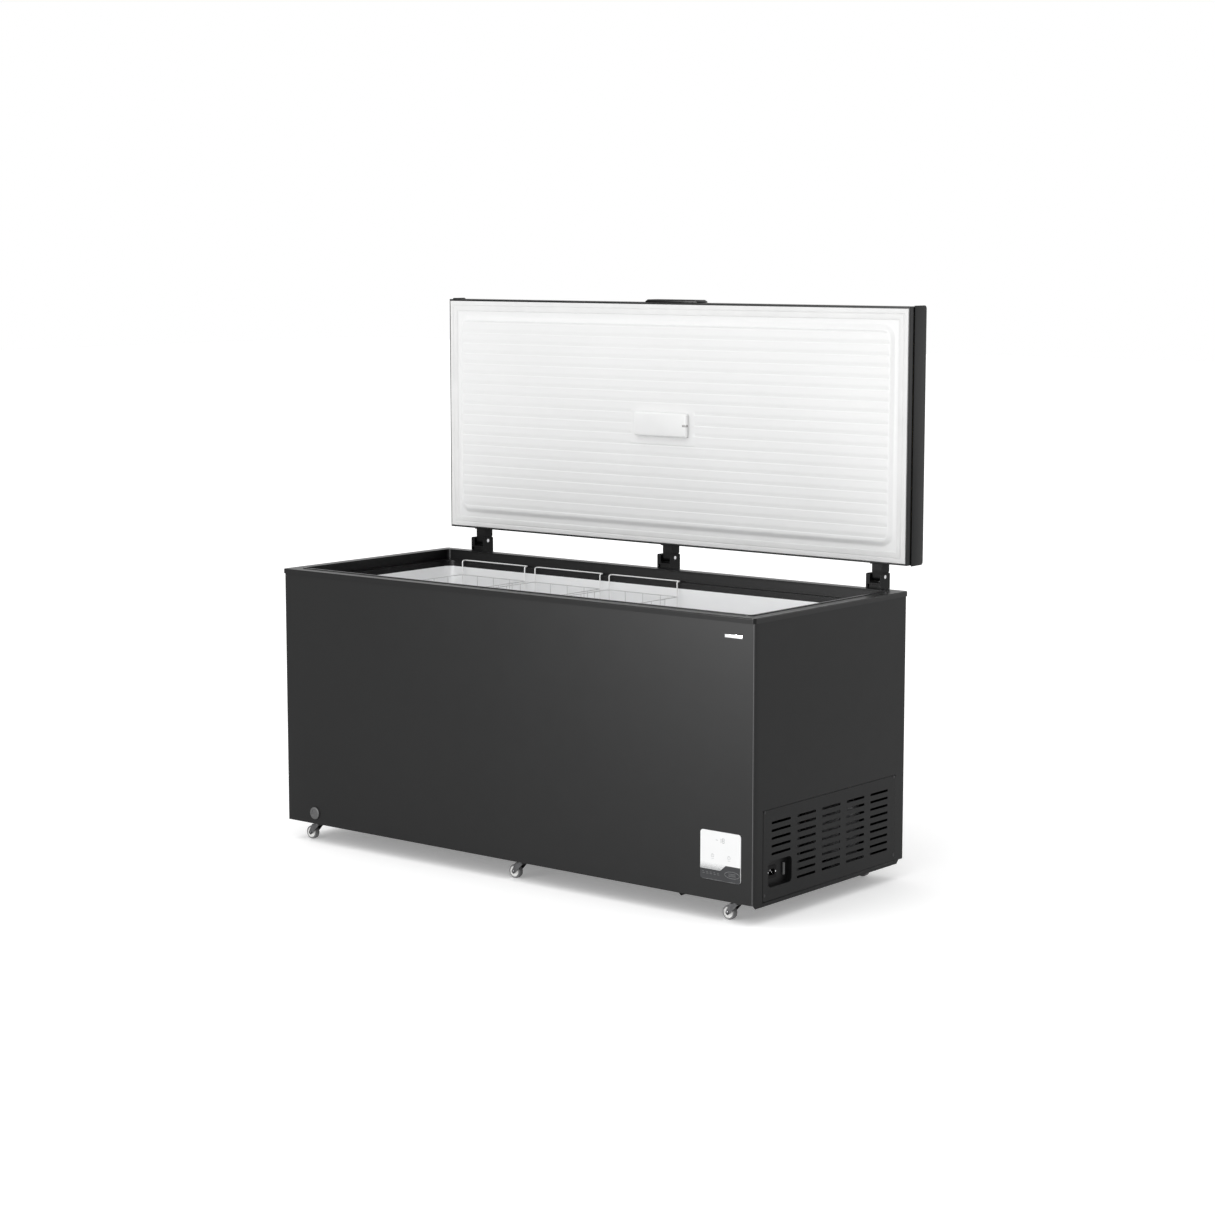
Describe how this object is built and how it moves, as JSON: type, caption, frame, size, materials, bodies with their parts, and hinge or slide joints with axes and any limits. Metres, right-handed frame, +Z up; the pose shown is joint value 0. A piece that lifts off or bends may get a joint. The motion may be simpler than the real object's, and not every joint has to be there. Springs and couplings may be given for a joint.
{
  "type": "chest freezer",
  "caption": "Long chest freezer on castors with a ribbed hinged lid, hanging wire baskets, stepped tub, side vent grille and front control panel.",
  "frame": {"origin": "on the floor, at the centre of the open freezer's box", "axes": "+X to the right along the front, +Y to the back, +Z up; the front faces -Y"},
  "size_m": [1.65, 0.7764, 1.536],
  "materials": {
    "steel_skin": "dark grey powder coat, satin",
    "zinc_steel": "zinc plated",
    "foam": "rigid foam, matt",
    "tub_white": "white stucco sheet, satin",
    "liner_plastic": "white vacuum-formed sheet, satin",
    "copper": "bare tube",
    "frame_plastic": "black, satin gloss",
    "black_plastic": "black moulded",
    "black_screw": "black zinc",
    "compressor_paint": "black gloss paint",
    "black_rubber": "matt",
    "panel_white": "gloss film",
    "board": "circuit board",
    "badge_metal": "brushed bright",
    "grey_plastic": "dark grey moulded",
    "gasket_white": "soft white vinyl",
    "lamp_diffuser": "translucent white",
    "basket_wire": "white plastic coat",
    "castor_tyre": "grey rubber, white hub"
  },
  "bodies": {
    "cabinet": {"front_panel": "steel_skin", "left_side_panel": "steel_skin", "right_side_panel": "steel_skin", "back_panel": "steel_skin", "bottom_panel": "steel_skin", "compressor_tray": "zinc_steel", "cabinet_foam": "foam", "inner_liner": "tub_white", "evaporator_tube": "copper", "top_frame": "frame_plastic", "frame_collar": "frame_plastic", "vent_grille": "black_plastic", "grille_screws": "black_screw", "mains_inlet": "black_plastic", "compressor": "compressor_paint", "compressor_mounts": "black_rubber", "condenser": "zinc_steel", "fan_shroud": "zinc_steel", "fan_motor": "compressor_paint", "filter_drier": "copper", "suction_pipe": "copper", "control_fascia": "panel_white", "control_housing": "black_plastic", "control_board": "board", "badge": "badge_metal", "drain_tube": "grey_plastic", "hinge_bracket_left": "black_plastic", "hinge_bracket_middle": "black_plastic", "hinge_bracket_right": "black_plastic", "hinge_pins": "zinc_steel", "castor_plates": "zinc_steel"},
    "drain_cap": {"drain_cap": "grey_plastic"},
    "drain_bung": {"drain_bung": "grey_plastic"},
    "fan": {"fan_rotor": "black_plastic"},
    "lid": {"lid_outer_panel": "steel_skin", "lid_end_cap_left": "frame_plastic", "lid_end_cap_right": "frame_plastic", "lid_foam": "foam", "lid_trim": "frame_plastic", "lid_liner": "liner_plastic", "lid_gasket": "gasket_white", "lamp_cover": "lamp_diffuser", "lamp_board": "board", "lid_handle": "frame_plastic", "hinge_arms": "black_plastic"},
    "basket_left": {"basket_left": "basket_wire"},
    "basket_middle": {"basket_middle": "basket_wire"},
    "basket_right": {"basket_right": "basket_wire"},
    "castor_swivel_1": {"castor_fork_1": "zinc_steel"},
    "castor_wheel_1": {"castor_wheel_1": "castor_tyre"},
    "castor_swivel_2": {"castor_fork_2": "zinc_steel"},
    "castor_wheel_2": {"castor_wheel_2": "castor_tyre"},
    "castor_swivel_3": {"castor_fork_3": "zinc_steel"},
    "castor_wheel_3": {"castor_wheel_3": "castor_tyre"},
    "castor_swivel_4": {"castor_fork_4": "zinc_steel"},
    "castor_wheel_4": {"castor_wheel_4": "castor_tyre"},
    "castor_swivel_5": {"castor_fork_5": "zinc_steel"},
    "castor_wheel_5": {"castor_wheel_5": "castor_tyre"},
    "castor_swivel_6": {"castor_fork_6": "zinc_steel"},
    "castor_wheel_6": {"castor_wheel_6": "castor_tyre"}
  },
  "joints": [
    {"name": "lid_hinge", "type": "hinge", "parent": "cabinet", "child": "lid", "pos_m": [0, 0.33225, 0.8075], "axis": [1, 0, 0], "range_deg": [0, 90]},
    {"name": "basket_left_lift", "type": "slide", "parent": "cabinet", "child": "basket_left", "axis": [0, 0, -1], "range_m": [-0.45, 0]},
    {"name": "basket_middle_lift", "type": "slide", "parent": "cabinet", "child": "basket_middle", "axis": [0, 0, -1], "range_m": [-0.45, 0]},
    {"name": "basket_right_lift", "type": "slide", "parent": "cabinet", "child": "basket_right", "axis": [0, 0, -1], "range_m": [-0.45, 0]},
    {"name": "drain_cap_pull", "type": "slide", "parent": "cabinet", "child": "drain_cap", "axis": [0, -1, 0], "range_m": [0, 0.03]},
    {"name": "drain_bung_pull", "type": "slide", "parent": "cabinet", "child": "drain_bung", "axis": [0, 0, -1], "range_m": [-0.04, 0]},
    {"name": "fan_spin", "type": "hinge", "parent": "cabinet", "child": "fan", "pos_m": [0.702, -0.11775, 0.162], "axis": [0, 1, 0], "continuous": true},
    {"name": "castor_swivel_1_turn", "type": "hinge", "parent": "cabinet", "child": "castor_swivel_1", "pos_m": [-0.743, -0.34375, 0.045], "axis": [0, 0, 1], "continuous": true},
    {"name": "castor_wheel_1_roll", "type": "hinge", "parent": "castor_swivel_1", "child": "castor_wheel_1", "pos_m": [-0.764, -0.34375, 0.019], "axis": [0, 1, 0], "continuous": true},
    {"name": "castor_swivel_2_turn", "type": "hinge", "parent": "cabinet", "child": "castor_swivel_2", "pos_m": [0.028, -0.34375, 0.045], "axis": [0, 0, 1], "continuous": true},
    {"name": "castor_wheel_2_roll", "type": "hinge", "parent": "castor_swivel_2", "child": "castor_wheel_2", "pos_m": [0.007, -0.34375, 0.019], "axis": [0, 1, 0], "continuous": true},
    {"name": "castor_swivel_3_turn", "type": "hinge", "parent": "cabinet", "child": "castor_swivel_3", "pos_m": [0.743, -0.34375, 0.045], "axis": [0, 0, 1], "continuous": true},
    {"name": "castor_wheel_3_roll", "type": "hinge", "parent": "castor_swivel_3", "child": "castor_wheel_3", "pos_m": [0.722, -0.34375, 0.019], "axis": [0, 1, 0], "continuous": true},
    {"name": "castor_swivel_4_turn", "type": "hinge", "parent": "cabinet", "child": "castor_swivel_4", "pos_m": [-0.743, 0.26025, 0.045], "axis": [0, 0, 1], "continuous": true},
    {"name": "castor_wheel_4_roll", "type": "hinge", "parent": "castor_swivel_4", "child": "castor_wheel_4", "pos_m": [-0.764, 0.26025, 0.019], "axis": [0, 1, 0], "continuous": true},
    {"name": "castor_swivel_5_turn", "type": "hinge", "parent": "cabinet", "child": "castor_swivel_5", "pos_m": [0.028, 0.26025, 0.045], "axis": [0, 0, 1], "continuous": true},
    {"name": "castor_wheel_5_roll", "type": "hinge", "parent": "castor_swivel_5", "child": "castor_wheel_5", "pos_m": [0.007, 0.26025, 0.019], "axis": [0, 1, 0], "continuous": true},
    {"name": "castor_swivel_6_turn", "type": "hinge", "parent": "cabinet", "child": "castor_swivel_6", "pos_m": [0.743, 0.26025, 0.045], "axis": [0, 0, 1], "continuous": true},
    {"name": "castor_wheel_6_roll", "type": "hinge", "parent": "castor_swivel_6", "child": "castor_wheel_6", "pos_m": [0.722, 0.26025, 0.019], "axis": [0, 1, 0], "continuous": true}
  ]
}
